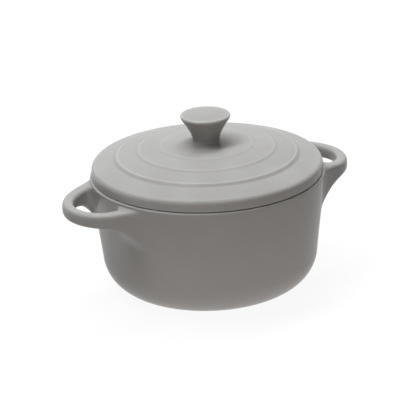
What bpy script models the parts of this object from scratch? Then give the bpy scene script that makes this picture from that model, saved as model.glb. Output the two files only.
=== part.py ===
"""Mini casserole dish: a round stoneware dish with two loop handles, and a stepped lid with a moulded knob.

Units are metres and +Z is up. The origin is the middle of the foot ring, on the surface that the dish
stands on, and the two handles lie along X.
"""

import math

import bmesh
import bpy

# Dish body
RIM_RADIUS = 0.0510  # outside of the wall at the rim
RIM_HEIGHT = 0.0508  # top of the rim above the table
WALL_DRAFT = math.radians(6.5)  # the wall leans in towards the foot
WALL = 0.0046
FLOOR = 0.0055  # top of the floor above the table
RIM_ROUND = 0.0012
CORNER_HEIGHT = 0.0163  # where the lower corner leaves the straight wall
CORNER_FULLNESS = 2.1  # superellipse power of the lower corner
INNER_CORNER = 0.012  # size of the rounded corner inside
INNER_FULLNESS = 2.2
FOOT_RADIUS = 0.0307  # outside of the foot ring
FOOT_WIDTH = 0.0058
FOOT_RECESS = 0.0012  # the base inside the foot ring stands clear by this much

# Loop handles
HANDLE_REACH = 0.0163  # how far the loop stands out past the rim
HANDLE_HALF_SPAN = 0.0181  # from the handle's middle to the centre line of an arm
HANDLE_DROP = 0.0028  # top of the loop below the rim
LOOP_FULLNESS = 1.97  # superellipse power of the loop's plan
TIP_WIDTH = 0.0048
ARM_WIDTH = 0.0080
TIP_DEPTH = 0.0060
ROOT_DEPTH = 0.0120
UNDERSIDE_SWEEP = 3.2  # how early the underside rises from the wall to the tip
LOOP_ROUND = 0.00245
ROOT_FILLET = 0.0046
ROOT_SINK = 0.00015  # the fillet's thin edge starts this far inside the wall
BEND_LENGTH = 0.0080  # the sections bend round the wall over this length of the arm

# Lid
SEAT_GAP = 0.0003  # the lid rests on the rim with this much air
LID_INSET = 0.0010  # the rim shows past the lid by this much
LID_EDGE_HEIGHT = 0.0047  # where the dome would meet the side, without the rounding
LID_EDGE_ROUND = 0.0029
LID_UNDER_ROUND = 0.0008
DOME_RISE = 0.0076  # rise of the lid's top without its steps
DOME_FULLNESS = 2.05  # power of the dome's curve
STEP_INSET = 0.0105  # from the lid's edge to the middle of the first step
STEP_PITCH = 0.0096  # from one step to the next
STEP_RISES = (0.0008, 0.0004, 0.0002)  # from the outer step to the inner one
STEP_WIDTH = 0.0020
LID_THICKNESS = 0.0045  # at the crown
FLANGE_DEPTH = 0.0050  # the flange drops into the dish's mouth
FLANGE_WALL = 0.0032
FLANGE_CLEARANCE = 0.0006  # to the dish's wall, at the flange's lower end
FLANGE_ROUND = 0.0012

# Knob
KNOB_HEIGHT = 0.0131  # above the lid's crown
KNOB_RADIUS = 0.0107
KNOB_NECK_RADIUS = 0.0058
KNOB_FLARE = 1.6  # power of the trumpet curve
KNOB_EDGE_ROUND = 0.0015
KNOB_FILLET = 0.0012
KNOB_CROWN = 0.0004

# Finish
GLAZE_GREY = (0.36, 0.35, 0.335)
GLAZE_ROUGHNESS = 0.42

# Fineness of the facets
TURN_STEPS = 64
ARC_POINTS = 4
CORNER_POINTS = 8
SECTION_CORNER_POINTS = 4
LOOP_STATIONS = 9
FILLET_SHARES = (0.08, 0.2, 0.38, 0.64, 1.0)  # where the sections of a root fillet lie
STEP_SHARES = (-0.5, -0.17, 0.17, 0.5)  # where the points of a step lie across its width
KNOB_TOP_SHARES = (0.0, 0.55)  # where the points of the knob's crown lie
MOST_ROUND = 0.95  # a corner takes at most this share of half its section
MERGE_DISTANCE = 0.00001


def clear_scene():
    """Removes what the file opened with."""
    for found in list(bpy.data.objects):
        bpy.data.objects.remove(found, do_unlink=True)


def new_collection(name):
    collection = bpy.data.collections.new(name)
    bpy.context.scene.collection.children.link(collection)
    return collection


def glaze(name):
    """A satin grey stoneware glaze."""
    material = bpy.data.materials.new(name)
    material.use_nodes = True
    shader = material.node_tree.nodes["Principled BSDF"]
    shader.inputs["Base Color"].default_value = (*GLAZE_GREY, 1.0)
    shader.inputs["Roughness"].default_value = GLAZE_ROUGHNESS
    shader.inputs["Metallic"].default_value = 0.0
    material.diffuse_color = (*GLAZE_GREY, 1.0)
    return material


def arc(centre, radius, start, end, count=ARC_POINTS):
    """Points on a circle in the (radius, height) plane, from one angle to another in degrees."""
    points = []
    for i in range(count):
        angle = math.radians(start + (end - start) * i / (count - 1))
        points.append((centre[0] + radius * math.cos(angle), centre[1] + radius * math.sin(angle)))
    return points


def soft_corner(wall_point, floor_point, power, count=CORNER_POINTS):
    """A superellipse corner, from a point on the wall in and down to a point on the floor."""
    width = wall_point[0] - floor_point[0]
    height = wall_point[1] - floor_point[1]
    points = []
    for i in range(count):
        angle = 0.5 * math.pi * i / (count - 1)
        across = max(math.cos(angle), 0.0) ** (2 / power)
        down = max(math.sin(angle), 0.0) ** (2 / power)
        points.append((floor_point[0] + width * across, wall_point[1] - height * down))
    return points


def turned(name, profile, collection, material):
    """An object turned about Z from a profile that runs down its outer side."""
    mesh = bpy.data.meshes.new(name)
    bm = bmesh.new()
    verts = [bm.verts.new((radius, 0.0, height)) for radius, height in profile]
    for first, second in zip(verts, verts[1:]):
        bm.edges.new((first, second))
    bm.to_mesh(mesh)
    bm.free()
    obj = bpy.data.objects.new(name, mesh)
    collection.objects.link(obj)
    mesh.materials.append(material)
    screw = obj.modifiers.new("turn", "SCREW")
    screw.axis = "Z"
    screw.steps = TURN_STEPS
    screw.render_steps = TURN_STEPS
    screw.use_merge_vertices = True
    screw.merge_threshold = MERGE_DISTANCE
    screw.use_smooth_shade = True
    return obj


def wall_radius(z):
    """Outside radius of the dish's straight wall at a height."""
    return RIM_RADIUS - (RIM_HEIGHT - z) * math.tan(WALL_DRAFT)


def wall_x(y, z):
    """Where the outside of the wall lies along X, at a distance y to the side."""
    return math.sqrt(wall_radius(z) ** 2 - y**2)


def dish_profile():
    """The dish's section: floor, inner wall, rim, outer wall, lower corner and foot ring."""
    inner_corner_top = FLOOR + INNER_CORNER
    inner_wall = wall_radius(inner_corner_top) - WALL
    inside = soft_corner(
        (inner_wall, inner_corner_top), (inner_wall - INNER_CORNER, FLOOR), INNER_FULLNESS
    )
    round_height = RIM_HEIGHT - RIM_ROUND
    mouth = wall_radius(round_height) - WALL
    rim = arc((mouth + RIM_ROUND, round_height), RIM_ROUND, 180, 90)
    rim += arc((wall_radius(round_height) - RIM_ROUND, round_height), RIM_ROUND, 90, 0)
    outside = soft_corner((wall_radius(CORNER_HEIGHT), CORNER_HEIGHT), (FOOT_RADIUS, 0.0), CORNER_FULLNESS)
    foot_inside = FOOT_RADIUS - FOOT_WIDTH
    foot = [(foot_inside, 0.0), (foot_inside - FOOT_RECESS, FOOT_RECESS), (0.0, FOOT_RECESS)]
    return [(0.0, FLOOR)] + inside[::-1] + rim + outside + foot


def fillet_growth(distance, radius):
    """How much a round fillet widens a root at a distance from the wall that it runs into."""
    if distance >= radius:
        return 0.0
    short = radius - max(distance, 0.0)
    return radius - math.sqrt(radius**2 - short**2)


def loop_section(half_width, low, high, corner):
    """A rounded rectangle as (across, height) points."""
    half_height = 0.5 * (high - low)
    corner = min(corner, MOST_ROUND * half_width, MOST_ROUND * half_height)
    points = []
    for quarter, (side, level) in enumerate(((1, 1), (-1, 1), (-1, -1), (1, -1))):
        centre = (side * (half_width - corner), low + half_height + level * (half_height - corner))
        points += arc(centre, corner, 90 * quarter, 90 * quarter + 90, SECTION_CORNER_POINTS)
    return points


def loop_stations(length):
    """Distances out from the wall, along X, at which the loop's sections lie, from root to tip."""
    middle_of_wall = -0.5 * WALL
    buried = [middle_of_wall, -ROOT_SINK]
    fillet = [ROOT_FILLET * share - ROOT_SINK for share in FILLET_SHARES]
    first = math.asin((fillet[-1] / length) ** (0.5 * LOOP_FULLNESS))
    arm = []
    for i in range(1, LOOP_STATIONS + 1):
        angle = first + (0.5 * math.pi - first) * i / LOOP_STATIONS
        arm.append(length * math.sin(angle) ** (2 / LOOP_FULLNESS))
    return buried + fillet + arm


def loop_ring(out, side, length, root_x):
    """One section of the loop, as points, at a distance out from the wall and on one side (1 or -1)."""
    power = LOOP_FULLNESS
    share = min(max(out, 0.0) / length, 1.0)
    y = HANDLE_HALF_SPAN * (1.0 - share**power) ** (1 / power)
    normal = (share ** (power - 1) / length, (y / HANDLE_HALF_SPAN) ** (power - 1) / HANDLE_HALF_SPAN)
    size = math.hypot(*normal)
    normal = (normal[0] / size, side * normal[1] / size)
    top = RIM_HEIGHT - HANDLE_DROP
    depth = TIP_DEPTH + (ROOT_DEPTH - TIP_DEPTH) * (1.0 - share) ** UNDERSIDE_SWEEP
    growth = fillet_growth(out, ROOT_FILLET)
    # Above the arm the fillet is flatter, so that it ends on the wall below the rim's rounding.
    top_growth = growth * min(max(HANDLE_DROP - RIM_ROUND, 0.0) / ROOT_FILLET, 1.0)
    half_width = 0.5 * (ARM_WIDTH + (TIP_WIDTH - ARM_WIDTH) * share)
    follow = max(1.0 - max(out, 0.0) / BEND_LENGTH, 0.0) ** 2
    section = loop_section(
        half_width + growth, top - depth - growth, top + top_growth, LOOP_ROUND + growth
    )
    ring = []
    for across, z in section:
        point_y = side * y + across * normal[1]
        point_x = root_x + out + across * normal[0]
        # Near the root the section bends round the wall, and further out it is flat.
        point_x += follow * (wall_x(point_y, z) - root_x)
        ring.append((point_x, point_y, z))
    return ring


def loop_handles(collection):
    """Both loops as one helper: sections lofted round the loop's plan, mirrored to the other side."""
    top = RIM_HEIGHT - HANDLE_DROP
    root_x = wall_x(HANDLE_HALF_SPAN, top)
    length = RIM_RADIUS + HANDLE_REACH - 0.5 * TIP_WIDTH - root_x
    stations = loop_stations(length)
    rings = [loop_ring(out, 1, length, root_x) for out in stations]
    rings += [loop_ring(out, -1, length, root_x) for out in stations[-2::-1]]
    mesh = bpy.data.meshes.new("handle_loops")
    bm = bmesh.new()
    loops = [[bm.verts.new(point) for point in ring] for ring in rings]
    for here, there in zip(loops, loops[1:]):
        for i in range(len(here)):
            bm.faces.new((here[i - 1], here[i], there[i], there[i - 1]))
    bm.faces.new(loops[0])
    bm.faces.new(loops[-1])
    bmesh.ops.recalc_face_normals(bm, faces=bm.faces)
    bm.to_mesh(mesh)
    bm.free()
    obj = bpy.data.objects.new("handle_loops", mesh)
    collection.objects.link(obj)
    obj.hide_render = True
    obj.display_type = "WIRE"
    mirror = obj.modifiers.new("other_side", "MIRROR")
    mirror.use_axis = (True, False, False)
    mirror.use_mirror_merge = False
    return obj


def build_dish(parts, helpers):
    """The dish, with its handles grown out of the wall as one fired piece."""
    dish = turned("dish", dish_profile(), parts, glaze("dish_glaze"))
    join = dish.modifiers.new("join_handles", "BOOLEAN")
    join.operation = "UNION"
    join.solver = "EXACT"
    join.object = loop_handles(helpers)
    return dish


def eased(share):
    """A smooth step from 0 to 1."""
    share = min(max(share, 0.0), 1.0)
    return share * share * (3.0 - 2.0 * share)


def step_radii(lid_radius):
    """Radii of the middles of the lid's steps, from the outer one to the inner one."""
    return [lid_radius - STEP_INSET - STEP_PITCH * i for i in range(len(STEP_RISES))]


def lid_top(radius, lid_radius):
    """Height of the lid's stepped dome above the lid's seat."""
    height = LID_EDGE_HEIGHT + DOME_RISE * (1.0 - (radius / lid_radius) ** DOME_FULLNESS)
    for step, rise in zip(step_radii(lid_radius), STEP_RISES):
        height += rise * eased((step - radius) / STEP_WIDTH + 0.5)
    return height


def knob_profile(crown):
    """The trumpet knob, from the middle of its top down to the foot of its fillet on the lid."""
    top = crown + KNOB_HEIGHT
    edge = (KNOB_RADIUS - KNOB_EDGE_ROUND, top - KNOB_CROWN - KNOB_EDGE_ROUND)
    neck_height = crown + KNOB_FILLET
    lean = math.atan(KNOB_FLARE * (edge[0] - KNOB_NECK_RADIUS) / (edge[1] - neck_height))
    points = [(share * edge[0], top - KNOB_CROWN * share**2) for share in KNOB_TOP_SHARES]
    points += arc(edge, KNOB_EDGE_ROUND, 90, -math.degrees(lean), ARC_POINTS + 1)
    flare_radius, flare_height = points[-1]
    for i in range(1, CORNER_POINTS):
        share = 1.0 - i / CORNER_POINTS
        radius = KNOB_NECK_RADIUS + (flare_radius - KNOB_NECK_RADIUS) * share**KNOB_FLARE
        points.append((radius, neck_height + (flare_height - neck_height) * share))
    return points + arc((KNOB_NECK_RADIUS + KNOB_FILLET, neck_height), KNOB_FILLET, 180, 270)


def lid_profile():
    """The lid's section above its seat: knob, stepped dome, edge, seat, flange and underside."""
    lid_radius = RIM_RADIUS - LID_INSET
    crown = lid_top(0.0, lid_radius)
    points = knob_profile(crown)
    for step in reversed(step_radii(lid_radius)):
        radii = [step + STEP_WIDTH * share for share in STEP_SHARES]
        points += [(radius, lid_top(radius, lid_radius)) for radius in radii]
    # The rounding of the edge starts along the slope that the dome ends with.
    slope = math.atan(DOME_RISE * DOME_FULLNESS / lid_radius)
    sink = LID_EDGE_ROUND * (1.0 - math.sin(slope)) / math.cos(slope)
    edge = (lid_radius - LID_EDGE_ROUND, LID_EDGE_HEIGHT - sink)
    points += arc(edge, LID_EDGE_ROUND, 90 - math.degrees(slope), 0, ARC_POINTS + 1)
    points += arc((lid_radius - LID_UNDER_ROUND, LID_UNDER_ROUND), LID_UNDER_ROUND, 0, -90)
    flange_outer = wall_radius(RIM_HEIGHT - FLANGE_DEPTH) - WALL - FLANGE_CLEARANCE
    flange_inner = flange_outer - FLANGE_WALL
    flange_end = FLANGE_ROUND - FLANGE_DEPTH
    points.append((flange_outer, 0.0))
    points += arc((flange_outer - FLANGE_ROUND, flange_end), FLANGE_ROUND, 0, -90)
    points += arc((flange_inner + FLANGE_ROUND, flange_end), FLANGE_ROUND, -90, -180)
    hollow = crown - LID_THICKNESS
    for i in range(CORNER_POINTS + 1):
        radius = flange_inner * (1.0 - i / CORNER_POINTS)
        points.append((radius, hollow * (1.0 - (radius / flange_inner) ** 2)))
    return points


def build_lid(parts):
    """The lid with its knob and locating flange, seated on the rim."""
    lid = turned("lid", lid_profile(), parts, glaze("lid_glaze"))
    lid.location = (0.0, 0.0, RIM_HEIGHT + SEAT_GAP)
    return lid


def main():
    clear_scene()
    parts = new_collection("mini_casserole_dish")
    helpers = new_collection("helpers")
    build_dish(parts, helpers)
    build_lid(parts)


main()
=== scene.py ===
"""Mini casserole dish, dressed: a glazed stoneware dish with two loop handles, and its stepped lid.

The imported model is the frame. The dish and the lid are built again here at the same overall sizes, with finer
forms and their finishes, and each rides on its own body. Lengths are in metres, and the handles lie along X.
"""

import logging
import math
from dataclasses import dataclass, field, replace
from enum import Enum
from typing import Sequence

import bmesh
import bpy
from bmesh.types import BMEdge, BMesh, BMFace, BMLayerItem, BMVert
from mathutils import Matrix, Vector


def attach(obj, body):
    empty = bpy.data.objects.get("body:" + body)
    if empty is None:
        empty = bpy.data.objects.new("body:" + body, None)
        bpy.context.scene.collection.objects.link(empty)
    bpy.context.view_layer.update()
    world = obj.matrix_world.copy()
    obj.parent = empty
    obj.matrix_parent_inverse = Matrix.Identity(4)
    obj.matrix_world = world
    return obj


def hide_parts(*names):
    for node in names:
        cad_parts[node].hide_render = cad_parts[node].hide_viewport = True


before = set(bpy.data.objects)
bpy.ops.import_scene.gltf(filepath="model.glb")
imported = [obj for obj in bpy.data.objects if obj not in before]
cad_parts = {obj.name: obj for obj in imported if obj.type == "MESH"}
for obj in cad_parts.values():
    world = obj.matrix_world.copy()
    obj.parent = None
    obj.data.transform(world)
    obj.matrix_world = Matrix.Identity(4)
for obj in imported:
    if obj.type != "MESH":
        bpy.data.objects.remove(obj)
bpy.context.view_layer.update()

LOG = logging.getLogger("mini_casserole_dish")
FLOW_AND_LIGHT_LAYER = "glaze_flow_and_painted_light"
INDEX_LAYER = "section_index"
MERGE_DISTANCE = 1e-6

Colour = tuple[float, float, float]
Place = tuple[float, float, float]
Socket = bpy.types.NodeSocket

WHITE: Colour = (1.0, 1.0, 1.0)
WARM_WHITE: Colour = (1.0, 0.96, 0.935)
COOL_WHITE: Colour = (0.945, 0.99, 1.0)


class Side(Enum):
    """The two sides of the dish that carry a handle, as signs along X."""

    LEFT = -1
    RIGHT = 1


class Arm(Enum):
    """The two arms of a loop handle, as signs along Y."""

    NEAR = -1
    FAR = 1


class Zone(Enum):
    """The finishes of a piece, as places in its list of materials."""

    GLAZED = 0
    BARE = 1


def opaque(colour: Colour) -> tuple[float, float, float, float]:
    """A colour with full alpha."""
    return (*colour, 1.0)


def add_object(name: str, data: bpy.types.ID) -> bpy.types.Object:
    """Makes an object from a mesh, a lamp or a camera, and puts it in the scene."""
    made = bpy.data.objects.new(name, data)
    bpy.context.scene.collection.objects.link(made)
    return made


class NodeChain:
    """A node tree with short calls for adding nodes and links."""

    mix_colours: tuple[int, int] = (6, 7)  # the colour inputs of a Mix node, among all its inputs
    mix_result: int = 2  # and its colour output

    def __init__(self, tree: bpy.types.NodeTree) -> None:
        """Keeps the tree.

        Args:
            tree: the node tree that the calls add to.
        """
        self.tree = tree

    def add(self, kind: str, **settings: object) -> bpy.types.Node:
        """Adds a node.

        Args:
            kind: the node's type name.
            settings: attributes of the node, such as its operation.

        Returns:
            The new node.
        """
        node = self.tree.nodes.new(kind)
        for name, value in settings.items():
            setattr(node, name, value)
        return node

    def join(self, source: Socket, target: Socket) -> None:
        """Links an output socket to an input socket."""
        self.tree.links.new(source, target)

    def feed(self, value: Socket | float, target: Socket) -> None:
        """Links a socket to an input, or sets the input to a number."""
        if isinstance(value, Socket):
            self.join(value, target)
        else:
            target.default_value = value

    def maths(
        self, operation: str, first: Socket | float, second: Socket | float, clamp: bool = False
    ) -> Socket:
        """Adds a Math node.

        Args:
            operation: the node's operation.
            first: a socket or a number.
            second: a socket or a number.
            clamp: whether the result is kept between 0 and 1.

        Returns:
            The node's output socket.
        """
        node = self.add("ShaderNodeMath", operation=operation, use_clamp=clamp)
        self.feed(first, node.inputs[0])
        self.feed(second, node.inputs[1])
        return node.outputs[0]

    def measure(self, operation: str, vector: Socket, other: Place) -> Socket:
        """Adds a Vector Math node that gives a number.

        Args:
            operation: the node's operation.
            vector: the vector that is measured.
            other: what it is measured against.

        Returns:
            The node's value.
        """
        node = self.add("ShaderNodeVectorMath", operation=operation)
        self.join(vector, node.inputs[0])
        node.inputs[1].default_value = other
        return node.outputs["Value"]

    def ramp(self, value: Socket, edges: tuple[float, float], ends: tuple[float, float]) -> Socket:
        """Adds a Map Range node with a smooth step.

        Args:
            value: the number that is mapped.
            edges: where the step starts and ends.
            ends: the results before and after the step.

        Returns:
            The mapped number.
        """
        node = self.add("ShaderNodeMapRange", interpolation_type="SMOOTHSTEP")
        self.join(value, node.inputs["Value"])
        for name, number in zip(("From Min", "From Max", "To Min", "To Max"), edges + ends):
            node.inputs[name].default_value = number
        return node.outputs["Result"]

    def blend(self, share: Socket | float, first: Socket, second: Socket) -> Socket:
        """Adds a Mix Shader node.

        Args:
            share: a socket or a number, the share of the second shader.
            first: the first shader's output.
            second: the second shader's output.

        Returns:
            The node's output socket.
        """
        node = self.add("ShaderNodeMixShader")
        self.feed(share, node.inputs["Fac"])
        self.join(first, node.inputs[1])
        self.join(second, node.inputs[2])
        return node.outputs[0]

    def noise(self, vector: Socket, scale: float, detail: float) -> Socket:
        """Adds a Noise Texture, centred on 0.

        Args:
            vector: where the noise is read.
            scale: features per metre.
            detail: how many finer layers it has.

        Returns:
            The noise's value, about 0 on average.
        """
        node = self.add("ShaderNodeTexNoise")
        node.inputs["Scale"].default_value = scale
        node.inputs["Detail"].default_value = detail
        self.join(vector, node.inputs["Vector"])
        return self.maths("SUBTRACT", node.outputs["Fac"], 0.5)

    def mix(self, share: Socket, first: Socket, second: Socket) -> Socket:
        """Adds a colour Mix node.

        Args:
            share: how much of the second colour shows.
            first: the first colour.
            second: the second colour.

        Returns:
            The mixed colour.
        """
        node = self.add("ShaderNodeMix", data_type="RGBA")
        self.join(share, node.inputs["Factor"])
        for colour, number in zip((first, second), self.mix_colours):
            self.join(colour, node.inputs[number])
        return node.outputs[self.mix_result]


@dataclass(frozen=True)
class StonewareSurface:
    """The shader group for fired stoneware: clouding, grain, glaze that thins on edges with a painted highlight
    and pools in hollows with painted shade, and fine relief.
    """

    name: str = "stoneware_surface"
    cloud_scale: float = 55.0  # features per metre
    grain_scale: float = 1500.0
    ripple_scale: float = 170.0
    cloud_detail: float = 3.0
    grain_detail: float = 2.0
    ripple_detail: float = 1.0
    cloud_depth: float = 0.05  # how much the clouding changes the tone
    grain_depth: float = 0.05
    cloud_shift: float = 0.35  # how much it shifts where the glaze thins and pools, and so where the painted highlights and shade fall
    rough_spread: float = 0.09  # how much the roughness varies
    grain_relief: float = 0.12  # the grain's height beside the ripple's

    def build(self) -> bpy.types.NodeTree:
        """Builds the group.

        Returns:
            The node group, with colour, roughness and height as its outputs.
        """
        group = bpy.data.node_groups.new(self.name, "ShaderNodeTree")
        for name, kind in (
            ("Vector", "NodeSocketVector"),
            ("Flow And Painted Light", "NodeSocketFloat"),
            ("Colour", "NodeSocketColor"),
            ("Thin Glaze Highlight Colour", "NodeSocketColor"),
            ("Pooled Glaze Shade Colour", "NodeSocketColor"),
            ("Roughness", "NodeSocketFloat"),
        ):
            group.interface.new_socket(name=name, in_out="INPUT", socket_type=kind)
        for name, kind in (
            ("Colour", "NodeSocketColor"),
            ("Roughness", "NodeSocketFloat"),
            ("Height", "NodeSocketFloat"),
        ):
            group.interface.new_socket(name=name, in_out="OUTPUT", socket_type=kind)
        chain = NodeChain(group)
        given = chain.add("NodeGroupInput").outputs
        result = chain.add("NodeGroupOutput").inputs
        cloud = chain.noise(given["Vector"], self.cloud_scale, self.cloud_detail)
        grain = chain.noise(given["Vector"], self.grain_scale, self.grain_detail)
        ripple = chain.noise(given["Vector"], self.ripple_scale, self.ripple_detail)
        flow_and_light = chain.maths("ADD", chain.maths("MULTIPLY", cloud, self.cloud_shift), given["Flow And Painted Light"])
        # thin glaze over convex edges, lighter, which also paints a highlight along them
        thin_glaze_highlight = chain.maths("MULTIPLY", flow_and_light, 1.0, clamp=True)
        # pooled glaze in hollows, darker, which also paints shade into creases
        pooled_glaze_shade = chain.maths("MULTIPLY", flow_and_light, -1.0, clamp=True)
        colour = chain.mix(thin_glaze_highlight, given["Colour"], given["Thin Glaze Highlight Colour"])
        colour = chain.mix(pooled_glaze_shade, colour, given["Pooled Glaze Shade Colour"])
        level = chain.maths("MULTIPLY", cloud, self.cloud_depth)
        level = chain.maths("ADD", level, chain.maths("MULTIPLY", grain, self.grain_depth))
        shade = chain.add("ShaderNodeHueSaturation")
        chain.join(chain.maths("ADD", level, 1.0), shade.inputs["Value"])
        chain.join(colour, shade.inputs["Color"])
        chain.join(shade.outputs["Color"], result["Colour"])
        spread = chain.maths("MULTIPLY", chain.maths("ADD", cloud, grain), self.rough_spread)
        chain.join(chain.maths("ADD", given["Roughness"], spread), result["Roughness"])
        relief = chain.maths("MULTIPLY", grain, self.grain_relief)
        chain.join(chain.maths("ADD", ripple, relief), result["Height"])
        return group


@dataclass(frozen=True)
class StonewareFinish:
    """One finish on stoneware: satin glaze, or the bare fired body."""

    name: str
    colour: Colour
    # lighter glaze over convex edges, and also a painted highlight there
    thin_glaze_highlight_colour: Colour
    # darker glaze in hollows, and also painted shade there
    pooled_glaze_shade_colour: Colour
    roughness: float
    relief: float  # height of the bumps
    gloss: float = 0.0  # weight of the clear coat
    gloss_roughness: float = 0.15
    specular: float = 0.25
    offset: Place = (0.0, 0.0, 0.0)

    def material(self, surface: bpy.types.NodeTree) -> bpy.types.Material:
        """Makes the finish's material.

        Args:
            surface: the shared shader group.

        Returns:
            The material.
        """
        material = bpy.data.materials.new(self.name)
        material.use_nodes = True
        material.diffuse_color = opaque(self.colour)
        chain = NodeChain(material.node_tree)
        shader = material.node_tree.nodes["Principled BSDF"]
        shader.inputs["Coat Weight"].default_value = self.gloss
        shader.inputs["Coat Roughness"].default_value = self.gloss_roughness
        shader.inputs["Specular IOR Level"].default_value = self.specular
        place = chain.add("ShaderNodeTexCoord")
        shift = chain.add("ShaderNodeMapping")
        shift.inputs["Location"].default_value = self.offset
        chain.join(place.outputs["Object"], shift.inputs["Vector"])
        flow_and_light = chain.add("ShaderNodeAttribute", attribute_name=FLOW_AND_LIGHT_LAYER)
        look = chain.add("ShaderNodeGroup", node_tree=surface)
        look.inputs["Colour"].default_value = opaque(self.colour)
        look.inputs["Thin Glaze Highlight Colour"].default_value = opaque(self.thin_glaze_highlight_colour)
        look.inputs["Pooled Glaze Shade Colour"].default_value = opaque(self.pooled_glaze_shade_colour)
        look.inputs["Roughness"].default_value = self.roughness
        chain.join(shift.outputs["Vector"], look.inputs["Vector"])
        chain.join(flow_and_light.outputs["Fac"], look.inputs["Flow And Painted Light"])
        chain.join(look.outputs["Colour"], shader.inputs["Base Color"])
        chain.join(look.outputs["Roughness"], shader.inputs["Roughness"])
        bump = chain.add("ShaderNodeBump")
        bump.inputs["Strength"].default_value = 1.0
        bump.inputs["Distance"].default_value = self.relief
        chain.join(look.outputs["Height"], bump.inputs["Height"])
        chain.join(bump.outputs["Normal"], shader.inputs["Normal"])
        return material


@dataclass(frozen=True)
class ProfilePoint:
    """A point of a turned profile, with its corner's rounding and the cuts on the way to the next point."""

    radius: float
    height: float
    rounding: float = 0.0
    cuts: int = 0

    def find(self, bm: BMesh) -> BMVert:
        """The vertex of a profile that lies at this point."""
        place = Vector((self.radius, 0.0, self.height))
        return min(bm.verts, key=lambda vert: (vert.co - place).length)


def soft_corner(top: Vector, foot: Vector, power: float, count: int) -> list[ProfilePoint]:
    """A superellipse corner between a wall and a floor.

    Args:
        top: the corner's end on the wall, as radius and height.
        foot: its end on the floor.
        power: the superellipse's power.
        count: how many points it has.

    Returns:
        The corner's points, from the wall to the floor.
    """
    points = []
    for i in range(count):
        turn = 0.5 * math.pi * i / (count - 1)
        across = max(math.cos(turn), 0.0) ** (2.0 / power)
        down = max(math.sin(turn), 0.0) ** (2.0 / power)
        points.append(ProfilePoint(foot.x + (top.x - foot.x) * across, top.y - (top.y - foot.y) * down))
    return points


@dataclass
class TurnedPiece:
    """A piece turned about Z: its profile is spun, and its edges tell the glaze where to thin and pool, and so
    where highlights and shade are painted.
    """

    name: str
    body: str
    node: str
    slot: str
    steps: int = 100  # sections round the axis
    round_segments: int = 4
    smoothing: int = 1
    edge_curvature: float = 2000.0  # the curvature, per metre, at which the thin glaze with its painted highlight is full on convex edges, as are the pooled glaze and its painted shade in hollows

    def profile(self) -> list[ProfilePoint]:
        """The piece's section, from the axis round its outside and back to the axis."""
        raise NotImplementedError

    def bare(self, face: BMFace) -> bool:
        """Whether a face is left unglazed."""
        raise NotImplementedError

    def turn(self) -> BMesh:
        """Spins the profile.

        Returns:
            The closed turned mesh, with its faces outwards.
        """
        bm = bmesh.new()
        points = self.profile()
        verts = [bm.verts.new((point.radius, 0.0, point.height)) for point in points]
        for pair in zip(verts, verts[1:]):
            bm.edges.new(pair)
        for point, following in zip(points, points[1:]):
            if point.cuts:
                edge = bm.edges.get((point.find(bm), following.find(bm)))
                bmesh.ops.subdivide_edges(bm, edges=[edge], cuts=point.cuts)
        for point in points:
            if point.rounding:
                self.round_corner(bm, point.find(bm), point.rounding)
        bmesh.ops.spin(
            bm,
            geom=bm.verts[:] + bm.edges[:],
            axis=(0.0, 0.0, 1.0),
            cent=(0.0, 0.0, 0.0),
            angle=2.0 * math.pi,
            steps=self.steps,
            use_merge=True,
        )
        bmesh.ops.remove_doubles(bm, verts=bm.verts, dist=MERGE_DISTANCE)
        bmesh.ops.recalc_face_normals(bm, faces=bm.faces)
        return bm

    def round_corner(self, bm: BMesh, vert: BMVert, radius: float) -> None:
        """Rounds a corner of the profile.

        Args:
            bm: the mesh that holds the profile.
            vert: the corner.
            radius: the radius of the rounding.
        """
        first, second = (edge.other_vert(vert).co - vert.co for edge in vert.link_edges)
        reach = radius / math.tan(0.5 * first.angle(second))
        bmesh.ops.bevel(
            bm,
            geom=[vert],
            offset=reach,
            offset_type="OFFSET",
            segments=self.round_segments,
            profile=0.5,
            affect="VERTICES",
            material=-1,
        )

    def mark_flow_and_painted_light(self, bm: BMesh) -> None:
        """Writes where the glaze thins over convex edges, with a painted highlight, and where it pools in
        hollows, with painted shade.

        Args:
            bm: the piece's mesh.
        """
        bm.normal_update()
        layer = bm.verts.layers.float.new(FLOW_AND_LIGHT_LAYER)
        for vert in bm.verts:
            bends = [0.0]
            for edge in vert.link_edges:
                one, other = (face.calc_center_median() for face in edge.link_faces)
                bends.append(edge.calc_face_angle_signed(0.0) / max((one - other).length, MERGE_DISTANCE))
            bend = max(bends, key=abs) / self.edge_curvature
            vert[layer] = math.copysign(min(abs(bend), 1.0), bend)

    def shape(self) -> BMesh:
        """The piece's whole mesh."""
        return self.turn()

    def build(self, finishes: Sequence[bpy.types.Material]) -> bpy.types.Object:
        """Makes the piece and fits it to the frame.

        Args:
            finishes: the materials of its zones, in the order of Zone.

        Returns:
            The finished object.
        """
        bm = self.shape()
        self.mark_flow_and_painted_light(bm)
        for face in bm.faces:
            face.smooth = True
            face.material_index = (Zone.BARE if self.bare(face) else Zone.GLAZED).value
        mesh = bpy.data.meshes.new(self.name)
        bm.to_mesh(mesh)
        bm.free()
        for finish in finishes:
            mesh.materials.append(finish)
        piece = add_object(self.name, mesh)
        smooth = piece.modifiers.new("smooth", "SUBSURF")
        smooth.levels = self.smoothing
        smooth.render_levels = self.smoothing
        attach(piece, self.body)
        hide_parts(self.node)
        LOG.info("%s: %d faces before smoothing, rides on %s", self.name, len(mesh.polygons), self.body)
        return piece


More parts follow.
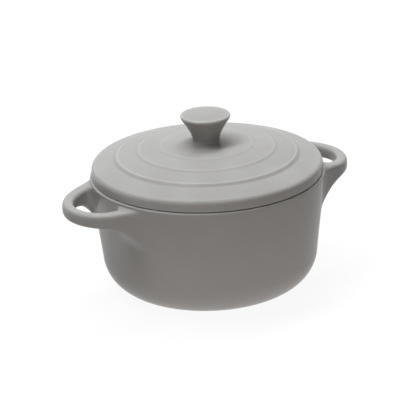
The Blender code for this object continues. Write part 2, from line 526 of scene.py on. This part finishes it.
@dataclass(frozen=True)
class DishWall:
    """The dish's straight wall, which leans in towards the foot."""

    rim_radius: float = 0.0510  # outside of the wall at the rim
    rim_height: float = 0.0508  # top of the rim above the table
    draft: float = math.radians(6.5)
    thickness: float = 0.0046

    def radius(self, z: float) -> float:
        """Outside radius at a height."""
        return self.rim_radius - (self.rim_height - z) * math.tan(self.draft)

    def inner_radius(self, z: float) -> float:
        """Inside radius at a height."""
        return self.radius(z) - self.thickness

    def x_at(self, y: float, z: float) -> float:
        """Where the outside of the wall lies along X, at a distance y to the side."""
        return math.sqrt(self.radius(z) ** 2 - y**2)


@dataclass(frozen=True)
class LoopHandle:
    """A loop handle: a rounded section carried round a superellipse, which flares into the wall."""

    wall: DishWall
    reach: float = 0.0163  # how far the loop stands out past the rim
    half_span: float = 0.0181  # from the handle's middle to the centre line of an arm
    drop: float = 0.0028  # top of the loop below the rim
    fullness: float = 1.97  # superellipse power of the loop's plan
    tip_width: float = 0.0048
    arm_width: float = 0.0066
    tip_depth: float = 0.0060
    root_depth: float = 0.0120
    underside_sweep: float = 4.0  # how early the underside rises from the wall to the tip
    edge_round: float = 0.0019
    root_fillet: float = 0.0054
    inner_share: float = 1.3  # how much of the fillet an arm's inner side has
    outer_share: float = 0.7  # how much of it an arm's outer side has
    edge_share: float = 0.3  # how much of it the rounding of the edges takes up
    top_rise: float = 0.0016  # an arm's top rises by this much towards the wall
    bend_length: float = 0.0080  # the sections bend round the wall over this length
    fillet_sections: int = 4
    arm_sections: int = 10
    most_round: float = 0.95  # a corner takes at most this share of half its section
    late_angles: tuple[float, ...] = (45.0, 67.5, 90.0)  # degrees in a corner's quarter turn
    early_angles: tuple[float, ...] = (0.0, 22.5)

    @property
    def top(self) -> float:
        """Height of the loop's top."""
        return self.wall.rim_height - self.drop

    @property
    def root_x(self) -> float:
        """Where an arm's centre line meets the wall, along X."""
        return self.wall.x_at(self.half_span, self.top)

    @property
    def length(self) -> float:
        """From the wall to the centre line at the tip, along X."""
        return self.wall.rim_radius + self.reach - 0.5 * self.tip_width - self.root_x

    def stations(self) -> list[float]:
        """Distances out from the wall of an arm's sections, from the fillet's first to the tip."""
        turns = [0.5 * math.pi * (i + 1) / self.fillet_sections for i in range(self.fillet_sections)]
        outs = [self.root_fillet * (1.0 - math.cos(turn)) for turn in turns]
        first = math.asin((self.root_fillet / self.length) ** (0.5 * self.fullness))
        for i in range(1, self.arm_sections + 1):
            turn = first + (0.5 * math.pi - first) * i / self.arm_sections
            outs.append(self.length * math.sin(turn) ** (2.0 / self.fullness))
        return outs

    def outline(self, half_width: float, low: float, high: float, corner: float) -> list[tuple[float, float]]:
        """A rounded rectangle of 24 points.

        Args:
            half_width: half its width.
            low: its lowest height.
            high: its highest height.
            corner: the radius of its corners.

        Returns:
            Points as across and height, from the middle of the upper outer corner over the top and round.
        """
        half_height = 0.5 * (high - low)
        corner = min(corner, self.most_round * half_width, self.most_round * half_height)
        flat = (half_width - corner, half_height - corner)
        middle = low + half_height
        points = []
        for quarter in range(4):
            here = self.corner_points(quarter, flat, corner, self.late_angles)
            there = self.corner_points(quarter + 1, flat, corner, self.early_angles)
            halfway = (0.5 * (here[-1][0] + there[0][0]), 0.5 * (here[-1][1] + there[0][1]))
            points += here + [halfway] + there
        return [(across, middle + height) for across, height in points]

    @staticmethod
    def corner_points(
        quarter: int, flat: tuple[float, float], corner: float, degrees: Sequence[float]
    ) -> list[tuple[float, float]]:
        """Points on one corner of the outline.

        Args:
            quarter: which corner, counted from the upper outer one.
            flat: half the flat width and half the flat height.
            corner: the radius of the corner.
            degrees: angles within the corner's quarter turn.

        Returns:
            Points as across and height from the middle of the outline.
        """
        side, level = ((1, 1), (-1, 1), (-1, -1), (1, -1))[quarter % 4]
        points = []
        for angle in degrees:
            turn = math.radians(90.0 * quarter + angle)
            across = side * flat[0] + corner * math.cos(turn)
            height = level * flat[1] + corner * math.sin(turn)
            points.append((across, height))
        return points

    def section(self, out: float, side: Side, arm: Arm) -> list[Vector]:
        """One section of the loop.

        Args:
            out: its distance from the wall.
            side: the side of the dish.
            arm: the arm of the loop.

        Returns:
            The section's points.
        """
        share = min(out / self.length, 1.0)
        y = self.half_span * (1.0 - share**self.fullness) ** (1.0 / self.fullness)
        slope = (y / self.half_span) ** (self.fullness - 1.0) / self.half_span
        normal = Vector((share ** (self.fullness - 1.0) / self.length, slope)).normalized()
        depth = self.tip_depth + (self.root_depth - self.tip_depth) * (1.0 - share) ** self.underside_sweep
        short = max(self.root_fillet - out, 0.0)
        growth = self.root_fillet - math.sqrt(self.root_fillet**2 - short**2)
        inner, outer = self.inner_share * growth, self.outer_share * growth
        half_width = 0.5 * (self.arm_width + (self.tip_width - self.arm_width) * share + inner + outer)
        low = self.top - depth - growth
        high = self.top + self.top_rise * (1.0 - share) ** 2
        follow = max(1.0 - out / self.bend_length, 0.0) ** 2
        points = []
        for across, z in self.outline(half_width, low, high, self.edge_round + self.edge_share * growth):
            across += 0.5 * (outer - inner)
            point_y = y + across * normal.y
            point_x = self.root_x + out + across * normal.x
            point_x += follow * (self.wall.x_at(point_y, z) - self.root_x)
            points.append(Vector((side.value * point_x, arm.value * point_y, z)))
        return points


@dataclass
class Dish(TurnedPiece):
    """The dish: a drawn-in wall, a soft lower corner, a foot ring, and loop handles grown out of the wall."""

    wall: DishWall = field(default_factory=DishWall)
    floor: float = 0.0055  # top of the floor above the table
    rim_round: float = 0.0006
    corner_height: float = 0.0163  # where the lower corner leaves the straight wall
    corner_fullness: float = 2.1  # superellipse power of the lower corner
    inner_corner: float = 0.012
    inner_fullness: float = 2.2
    foot_radius: float = 0.0307
    foot_width: float = 0.0058
    foot_recess: float = 0.0012  # the base inside the foot ring stands clear by this much
    foot_round: float = 0.0005
    bare_slope: float = 0.95
    bare_height: float = 0.0003  # the bare faces lie lower than this
    corner_points: int = 12
    floor_cuts: int = 6
    inside_cuts: int = 7
    wall_cuts: int = 4
    base_cuts: int = 5
    root_cells: tuple[int, int] = (2, 9)  # columns of faces from X that bound an arm's root
    root_rows: int = 5
    start_slack: float = 0.001  # an angle that keeps the first point from counting as the last

    @property
    def handle(self) -> LoopHandle:
        """The loop handle on this dish's wall."""
        return LoopHandle(self.wall)

    @property
    def root_heights(self) -> tuple[float, float]:
        """Lowest and highest height of a handle's root on the wall."""
        loop = self.handle
        return loop.top - loop.root_depth - loop.root_fillet, loop.top + loop.top_rise

    def profile(self) -> list[ProfilePoint]:
        """The dish's section: floor, inner wall, rim, outer wall, lower corner and foot ring."""
        wall = self.wall
        inner_top = self.floor + self.inner_corner
        inner = wall.inner_radius(inner_top)
        inside = soft_corner(
            Vector((inner, inner_top)),
            Vector((inner - self.inner_corner, self.floor)),
            self.inner_fullness,
            self.corner_points,
        )
        low, high = self.root_heights
        outside = soft_corner(
            Vector((wall.radius(self.corner_height), self.corner_height)),
            Vector((self.foot_radius, 0.0)),
            self.corner_fullness,
            self.corner_points,
        )
        foot = self.foot_radius - self.foot_width
        top = wall.rim_height
        inside[0] = ProfilePoint(inner, inner_top, cuts=self.inside_cuts)
        return [
            ProfilePoint(0.0, self.floor, cuts=self.floor_cuts),
            *inside[::-1],
            ProfilePoint(wall.inner_radius(top), top, self.rim_round),
            ProfilePoint(wall.radius(high), top, self.rim_round),
            ProfilePoint(wall.radius(high), high, cuts=self.root_rows - 1),
            ProfilePoint(wall.radius(low), low, cuts=self.wall_cuts),
            *outside,
            ProfilePoint(foot, 0.0, self.foot_round),
            ProfilePoint(foot - self.foot_recess, self.foot_recess, self.foot_round, cuts=self.base_cuts),
            ProfilePoint(0.0, self.foot_recess),
        ]

    def bare(self, face: BMFace) -> bool:
        """The flat of the foot ring is unglazed, because the dish stands on it in the kiln."""
        return face.normal.z < -self.bare_slope and face.calc_center_median().z < self.bare_height

    @property
    def root_angles(self) -> tuple[float, float]:
        """Where a handle's root starts and ends on the wall, as angles from X."""
        step = 2.0 * math.pi / self.steps
        return self.root_cells[0] * step, self.root_cells[1] * step

    def root_border(self, bm: BMesh, side: Side, arm: Arm) -> list[BMEdge]:
        """Opens the wall where an arm grows out of it.

        Args:
            bm: the dish's mesh.
            side: the side of the dish.
            arm: the arm of the loop.

        Returns:
            The edges round the opening.
        """
        start, end = self.root_angles
        low, high = self.root_heights
        patch = set()
        for face in bm.faces:
            centre = face.calc_center_median()
            angle = math.atan2(centre.y * arm.value, centre.x * side.value)
            outer = centre.xy.length > self.wall.radius(centre.z) - 0.5 * self.wall.thickness
            if outer and start < angle < end and low < centre.z < high:
                patch.add(face)
        edges = {edge for face in patch for edge in face.edges}
        border = [edge for edge in edges if sum(face in patch for face in edge.link_faces) == 1]
        bmesh.ops.delete(bm, geom=list(patch), context="FACES")
        return border

    def seat_border(self, border: Sequence[BMEdge], side: Side, arm: Arm, index: BMLayerItem) -> None:
        """Moves the edge of an opening to the foot of the arm's fillet, and numbers its points.

        Args:
            border: the edges round the opening.
            side: the side of the dish.
            arm: the arm of the loop.
            index: the vertex layer that holds the numbers.
        """
        start, end = self.root_angles
        low, high = self.root_heights

        def place(vert: BMVert) -> float:
            """How far round the opening a point lies, from its upper outer corner."""
            angle = math.atan2(vert.co.y * arm.value, vert.co.x * side.value)
            across = (2.0 * angle - start - end) / (end - start)
            height = (2.0 * vert.co.z - low - high) / (high - low)
            return (math.atan2(height, across) - 0.25 * math.pi + self.start_slack) % (2.0 * math.pi)

        verts = sorted({vert for edge in border for vert in edge.verts}, key=place)
        for number, (vert, point) in enumerate(zip(verts, self.handle.section(0.0, side, arm))):
            vert[index] = number
            vert.co = point

    def grow_handle(self, bm: BMesh, side: Side, index: BMLayerItem) -> None:
        """Grows both arms of a handle out of the wall, section by section, and joins them at the tip.

        Args:
            bm: the dish's mesh.
            side: the side of the dish.
            index: the vertex layer that numbers the points of a section.
        """
        ends = []
        for arm in Arm:
            edges = self.root_border(bm, side, arm)
            self.seat_border(edges, side, arm, index)
            stations = self.handle.stations()
            if arm is Arm.FAR:
                stations.pop()
            for out in stations:
                points = self.handle.section(out, side, arm)
                made = bmesh.ops.extrude_edge_only(bm, edges=edges)["geom"]
                for vert in (item for item in made if isinstance(item, BMVert)):
                    vert.co = points[vert[index]]
                edges = [item for item in made if isinstance(item, BMEdge) and item.is_boundary]
            ends += edges
        bmesh.ops.bridge_loops(bm, edges=ends)

    def shape(self) -> BMesh:
        """The turned dish with both handles."""
        bm = self.turn()
        index = bm.verts.layers.int.new(INDEX_LAYER)
        for side in Side:
            self.grow_handle(bm, side, index)
        bm.verts.layers.int.remove(index)
        bmesh.ops.recalc_face_normals(bm, faces=bm.faces)
        return bm


@dataclass
class Lid(TurnedPiece):
    """The lid: a low dome with three steps, a flange that drops into the dish, and a trumpet knob."""

    wall: DishWall = field(default_factory=DishWall)
    seat_gap: float = 0.0003  # the lid rests on the rim with this much air
    inset: float = 0.0010  # the rim shows past the lid by this much
    edge_height: float = 0.0047  # where the dome would meet the side, without the rounding
    edge_round: float = 0.0024
    edge_margin: float = 1.2  # the dome has no points this close to the side, in edge roundings
    under_round: float = 0.0004
    seat_round: float = 0.0004
    dome_rise: float = 0.0076  # rise of the lid's top without its steps
    dome_fullness: float = 2.05  # power of the dome's curve
    step_inset: float = 0.0105  # from the lid's edge to the middle of the first step
    step_pitch: float = 0.0096  # from one step to the next
    step_rises: tuple[float, ...] = (0.0008, 0.0004, 0.0002)  # from the outer step to the inner one
    step_width: float = 0.0020
    step_margin: float = 0.6  # a step's points reach this many widths to both sides
    thickness: float = 0.0045  # at the crown
    flange_depth: float = 0.0050  # the flange drops this far into the dish's mouth
    flange_wall: float = 0.0032
    flange_clearance: float = 0.0006  # to the dish's wall, at the flange's lower end
    flange_round: float = 0.0012
    flange_cuts: int = 2
    bare_slope: float = 0.8
    bare_share: float = 0.9  # the bare faces lie below this share of the flange
    knob_height: float = 0.0131  # above the lid's crown
    knob_radius: float = 0.0107
    knob_neck: float = 0.0058
    knob_flare: float = 1.4  # power of the trumpet curve
    knob_edge_round: float = 0.0010
    knob_fillet: float = 0.0012
    fillet_share: float = 0.9
    fillet_margin: float = 3.0  # the dome's points start this many fillets from the neck
    knob_crown: float = 0.0012  # rise of the knob's top
    crown_power: int = 3
    crown_points: int = 5
    curve_points: int = 10
    step_points: int = 9
    plain_points: int = 4

    @property
    def radius(self) -> float:
        """Radius of the lid's edge."""
        return self.wall.rim_radius - self.inset

    @property
    def seat(self) -> float:
        """Height of the lid's underside above the table."""
        return self.wall.rim_height + self.seat_gap

    def step_radii(self) -> list[float]:
        """Radii of the steps' middles, from the outer one to the inner one."""
        return [self.radius - self.step_inset - self.step_pitch * i for i in range(len(self.step_rises))]

    @staticmethod
    def spread(start: float, end: float, count: int) -> list[float]:
        """Evenly spaced radii, with the start but without the end."""
        return [start + (end - start) * i / count for i in range(count)]

    def dome(self, radius: float) -> float:
        """Height of the stepped dome above the lid's seat, at a radius."""
        height = self.edge_height + self.dome_rise * (1.0 - (radius / self.radius) ** self.dome_fullness)
        for step, rise in zip(self.step_radii(), self.step_rises):
            share = min(max((step - radius) / self.step_width + 0.5, 0.0), 1.0)
            height += rise * share * share * (3.0 - 2.0 * share)
        return height

    def knob(self) -> list[ProfilePoint]:
        """The knob's part of the profile, from the middle of its top to the foot of its fillet."""
        crown = self.dome(0.0)
        top = crown + self.knob_height
        rim = top - self.knob_crown
        neck = crown + self.knob_fillet
        middle = (self.knob_radius - self.knob_edge_round, rim - self.knob_edge_round)
        lean = math.atan(self.knob_flare * (middle[0] - self.knob_neck) / (middle[1] - neck))
        corner = middle[0] + self.knob_edge_round * (1.0 + math.sin(lean)) / math.cos(lean)
        flare_radius = middle[0] + self.knob_edge_round * math.cos(lean)
        flare_top = middle[1] - self.knob_edge_round * math.sin(lean)
        points = []
        for i in range(self.crown_points):
            share = i / self.crown_points
            points.append(ProfilePoint(share * middle[0], top - self.knob_crown * share**self.crown_power))
        points.append(ProfilePoint(corner, rim, self.knob_edge_round))
        for i in range(1, self.curve_points + 1):
            share = 1.0 - i / self.curve_points
            radius = self.knob_neck + (flare_radius - self.knob_neck) * share**self.knob_flare
            points.append(ProfilePoint(radius, neck + (flare_top - neck) * share))
        points.append(ProfilePoint(self.knob_neck, crown, self.fillet_share * self.knob_fillet))
        return points

    def profile(self) -> list[ProfilePoint]:
        """The lid's section: knob, stepped dome, edge, seat, flange and hollow."""
        points = self.knob()
        half = self.step_margin * self.step_width
        start = self.knob_neck + self.fillet_margin * self.knob_fillet
        for step in reversed(self.step_radii()):
            radii = self.spread(start, step - half, self.plain_points)
            radii += self.spread(step - half, step + half, self.step_points)
            points += [ProfilePoint(radius, self.dome(radius)) for radius in radii]
            start = step + half
        end = self.radius - self.edge_margin * self.edge_round
        radii = self.spread(start, end, self.plain_points)
        points += [ProfilePoint(radius, self.dome(radius)) for radius in radii]
        flange = self.wall.inner_radius(self.wall.rim_height - self.flange_depth) - self.flange_clearance
        hollow_radius = flange - self.flange_wall
        points += [
            ProfilePoint(self.radius, self.edge_height, self.edge_round),
            ProfilePoint(self.radius, 0.0, self.under_round),
            ProfilePoint(flange, 0.0, self.seat_round, cuts=self.flange_cuts),
            ProfilePoint(flange, -self.flange_depth, self.flange_round),
            ProfilePoint(hollow_radius, -self.flange_depth, self.flange_round, cuts=self.flange_cuts),
        ]
        hollow = self.dome(0.0) - self.thickness
        for i in range(self.curve_points + 1):
            share = 1.0 - i / self.curve_points
            points.append(ProfilePoint(hollow_radius * share, hollow * (1.0 - share**2)))
        return [replace(point, height=point.height + self.seat) for point in points]

    def bare(self, face: BMFace) -> bool:
        """The end of the flange is unglazed, because the lid stands on it in the kiln."""
        end = self.seat - self.bare_share * self.flange_depth
        return face.normal.z < -self.bare_slope and face.calc_center_median().z < end


@dataclass(frozen=True)
class SoftBox:
    """A large soft lamp that points at the object and stays out of reflections."""

    name: str
    place: Place
    size: tuple[float, float]
    power: float
    colour: Colour
    target: Place = (0.0, 0.0, 0.04)

    def build(self) -> bpy.types.Object:
        """Makes the lamp.

        Returns:
            The lamp's object.
        """
        data = bpy.data.lights.new(self.name, "AREA")
        data.shape = "RECTANGLE"
        data.size, data.size_y = self.size
        data.energy = self.power
        data.color = self.colour
        lamp = add_object(self.name, data)
        lamp.location = self.place
        lamp.visible_glossy = False
        aim = Vector(self.target) - Vector(self.place)
        lamp.rotation_mode = "QUATERNION"
        lamp.rotation_quaternion = aim.to_track_quat("-Z", "Y")
        return lamp


@dataclass(frozen=True)
class Studio:
    """A white studio: pale floor, soft light from above, and the camera."""

    floor_radius: float = 3.0
    floor_segments: int = 96
    floor_level: float = -0.0002
    floor_colour: Colour = (0.12, 0.12, 0.12)
    floor_roughness: float = 0.9
    floor_specular: float = 0.1
    card_colour: Colour = (0.9, 0.9, 0.9)
    floor_show: float = 0.92  # share of plain white in the floor that the camera sees
    floor_mirror: float = 0.97  # share of plain white in the floor that is mirrored
    glow: float = 0.70  # light from the card in front of the object
    glow_colour: Colour = WARM_WHITE
    glow_middle: Place = (-0.025, -0.083, 0.0)
    glow_edges: tuple[float, float] = (0.04, 0.15)  # where it starts to fade, and where it ends
    world_light: float = 0.03  # the world's strength as a light
    backdrop_light: float = 0.9  # its strength in reflections, behind the object
    backdrop_way: Place = (0.465, 0.885, 0.0)  # from the camera to the object
    backdrop_edges: tuple[float, float] = (0.2, 0.95)
    lamps: tuple[SoftBox, ...] = (
        SoftBox("overhead_box", place=(-0.060, 0.260, 1.2), size=(1.8, 0.4), power=28.4, colour=COOL_WHITE),
        SoftBox("front_fill", place=(-0.30, -0.88, 0.45), size=(0.5, 0.5), power=2.45, colour=WARM_WHITE),
    )
    look: Place = (0.0, 0.0, 0.040)
    distance: float = 0.900
    azimuth: float = math.radians(-27.7)
    elevation: float = math.radians(21.05)
    roll: float = math.radians(-2.21)
    sensor: float = 36.0
    lens: float = 179.37
    clip: tuple[float, float] = (0.01, 20.0)
    picture: float = 416.0  # the picture's width in pixels
    offset: tuple[float, float] = (0.23, 13.83)  # pixels from its middle to the look point, right and up

    def build_world(self) -> None:
        """Makes the world: white to look at, dim as a light, and mirrored only from behind the object."""
        world = bpy.data.worlds.new("studio_world")
        bpy.context.scene.world = world
        world.use_nodes = True
        chain = NodeChain(world.node_tree)
        background = world.node_tree.nodes["Background"]
        background.inputs["Color"].default_value = opaque(WHITE)
        path = chain.add("ShaderNodeLightPath").outputs
        way = chain.add("ShaderNodeTexCoord").outputs["Generated"]
        facing = chain.measure("DOT_PRODUCT", way, self.backdrop_way)
        behind = chain.ramp(facing, self.backdrop_edges, (0.0, self.backdrop_light))
        mirrored = chain.maths("MULTIPLY", path["Is Glossy Ray"], behind)
        seen = chain.maths("MAXIMUM", path["Is Camera Ray"], path["Is Transmission Ray"])
        seen = chain.maths("MAXIMUM", seen, mirrored)
        strength = chain.maths("MULTIPLY", seen, 1.0 - self.world_light)
        chain.join(chain.maths("ADD", strength, self.world_light), background.inputs["Strength"])

    def build_floor(self) -> bpy.types.Object:
        """Makes the floor.

        Returns:
            The floor's object.
        """
        bm = bmesh.new()
        bmesh.ops.create_circle(bm, cap_ends=True, radius=self.floor_radius, segments=self.floor_segments)
        bmesh.ops.translate(bm, vec=(0.0, 0.0, self.floor_level), verts=bm.verts)
        mesh = bpy.data.meshes.new("studio_floor")
        bm.to_mesh(mesh)
        bm.free()
        floor = add_object("studio_floor", mesh)
        mesh.materials.append(self.floor_material())
        return floor

    def floor_material(self) -> bpy.types.Material:
        """White card, lit from below in front of the object, which keeps a faint shadow to the camera.

        Returns:
            The floor's material.
        """
        material = bpy.data.materials.new("studio_card")
        material.use_nodes = True
        chain = NodeChain(material.node_tree)
        shader = material.node_tree.nodes["Principled BSDF"]
        shader.inputs["Base Color"].default_value = opaque(self.floor_colour)
        shader.inputs["Roughness"].default_value = self.floor_roughness
        shader.inputs["Specular IOR Level"].default_value = self.floor_specular
        shader.inputs["Emission Color"].default_value = opaque(self.glow_colour)
        place = chain.add("ShaderNodeTexCoord").outputs["Object"]
        away = chain.measure("DISTANCE", place, self.glow_middle)
        fade = chain.ramp(away, self.glow_edges, (self.glow, 0.0))
        chain.join(fade, shader.inputs["Emission Strength"])
        white = chain.add("ShaderNodeEmission")
        white.inputs["Color"].default_value = opaque(WHITE)
        card = chain.add("ShaderNodeBsdfDiffuse")
        card.inputs["Color"].default_value = opaque(self.card_colour)
        path = chain.add("ShaderNodeLightPath").outputs
        shown = chain.blend(self.floor_show, card.outputs["BSDF"], white.outputs["Emission"])
        mirror = chain.maths("MULTIPLY", path["Is Glossy Ray"], self.floor_mirror)
        lit = chain.blend(mirror, shader.outputs["BSDF"], white.outputs["Emission"])
        seen = chain.maths("MAXIMUM", path["Is Camera Ray"], path["Is Transmission Ray"])
        output = material.node_tree.nodes["Material Output"]
        chain.join(chain.blend(seen, lit, shown), output.inputs["Surface"])
        return material

    def build_camera(self) -> bpy.types.Object:
        """Makes the camera at the photograph's viewing angle.

        Returns:
            The camera's object.
        """
        sin_a, cos_a = math.sin(self.azimuth), math.cos(self.azimuth)
        sin_e, cos_e = math.sin(self.elevation), math.cos(self.elevation)
        back = Vector((sin_a * cos_e, -cos_a * cos_e, sin_e))
        level = Vector((cos_a, sin_a, 0.0))
        upright = Vector((-sin_a * sin_e, cos_a * sin_e, cos_e))
        right = math.cos(self.roll) * level + math.sin(self.roll) * upright
        up = math.cos(self.roll) * upright - math.sin(self.roll) * level
        data = bpy.data.cameras.new("camera")
        data.sensor_width = self.sensor
        data.lens = self.lens
        data.shift_x = -self.offset[0] / self.picture
        data.shift_y = -self.offset[1] / self.picture
        data.clip_start, data.clip_end = self.clip
        camera = add_object("camera", data)
        turn = Matrix((right, up, back)).transposed().to_4x4()
        camera.matrix_world = Matrix.Translation(Vector(self.look) + self.distance * back) @ turn
        bpy.context.scene.camera = camera
        return camera

    def build(self) -> None:
        """Makes the whole studio."""
        bpy.context.scene.view_settings.view_transform = "Standard"
        self.build_world()
        self.build_floor()
        for lamp in self.lamps:
            lamp.build()
        self.build_camera()
        LOG.info("studio: floor, %d lamps, world and camera", len(self.lamps))


def main() -> None:
    """Builds the finishes, the dish, the lid and the studio, in this order."""
    logging.basicConfig(level=logging.INFO, format="%(name)s: %(message)s")
    surface = StonewareSurface().build()
    # The pooled colour is darker glaze in hollows and also painted shade in creases.
    glaze = {
        "colour": (0.305, 0.291, 0.281),
        "pooled_glaze_shade_colour": (0.265, 0.253, 0.244),
        "roughness": 0.55,
        "relief": 0.00006,
        "gloss": 0.35,
    }
    # The dish's thin colour paints a mild highlight on its rim and edges, besides the thinner glaze there.
    dish_glaze = StonewareFinish("dish_satin_glaze", thin_glaze_highlight_colour=(0.36, 0.345, 0.333), **glaze)
    # The lid's thin colour is far lighter: painted highlight lines on its step lips, shoulder and lower edge.
    lid_glaze = StonewareFinish(
        "lid_satin_glaze", thin_glaze_highlight_colour=(0.58, 0.558, 0.538), offset=(0.3, 0.1, 0.2), **glaze
    )
    # On the bare foot, the thin and pooled colours paint highlights on edges and shade in hollows too.
    bare = StonewareFinish(
        "bare_stoneware",
        colour=(0.52, 0.46, 0.38),
        thin_glaze_highlight_colour=(0.56, 0.50, 0.42),
        pooled_glaze_shade_colour=(0.46, 0.40, 0.33),
        roughness=0.85,
        relief=0.00012,
    ).material(surface)
    wall = DishWall()
    dish = Dish("casserole_dish", "dish", "dish", "dish_glaze", wall=wall)
    dish.build((dish_glaze.material(surface), bare))
    lid = Lid("casserole_lid", "lid", "lid", "lid_glaze", wall=wall)
    lid.build((lid_glaze.material(surface), bare))
    Studio().build()
    bpy.context.view_layer.update()


if __name__ == "__main__":
    main()
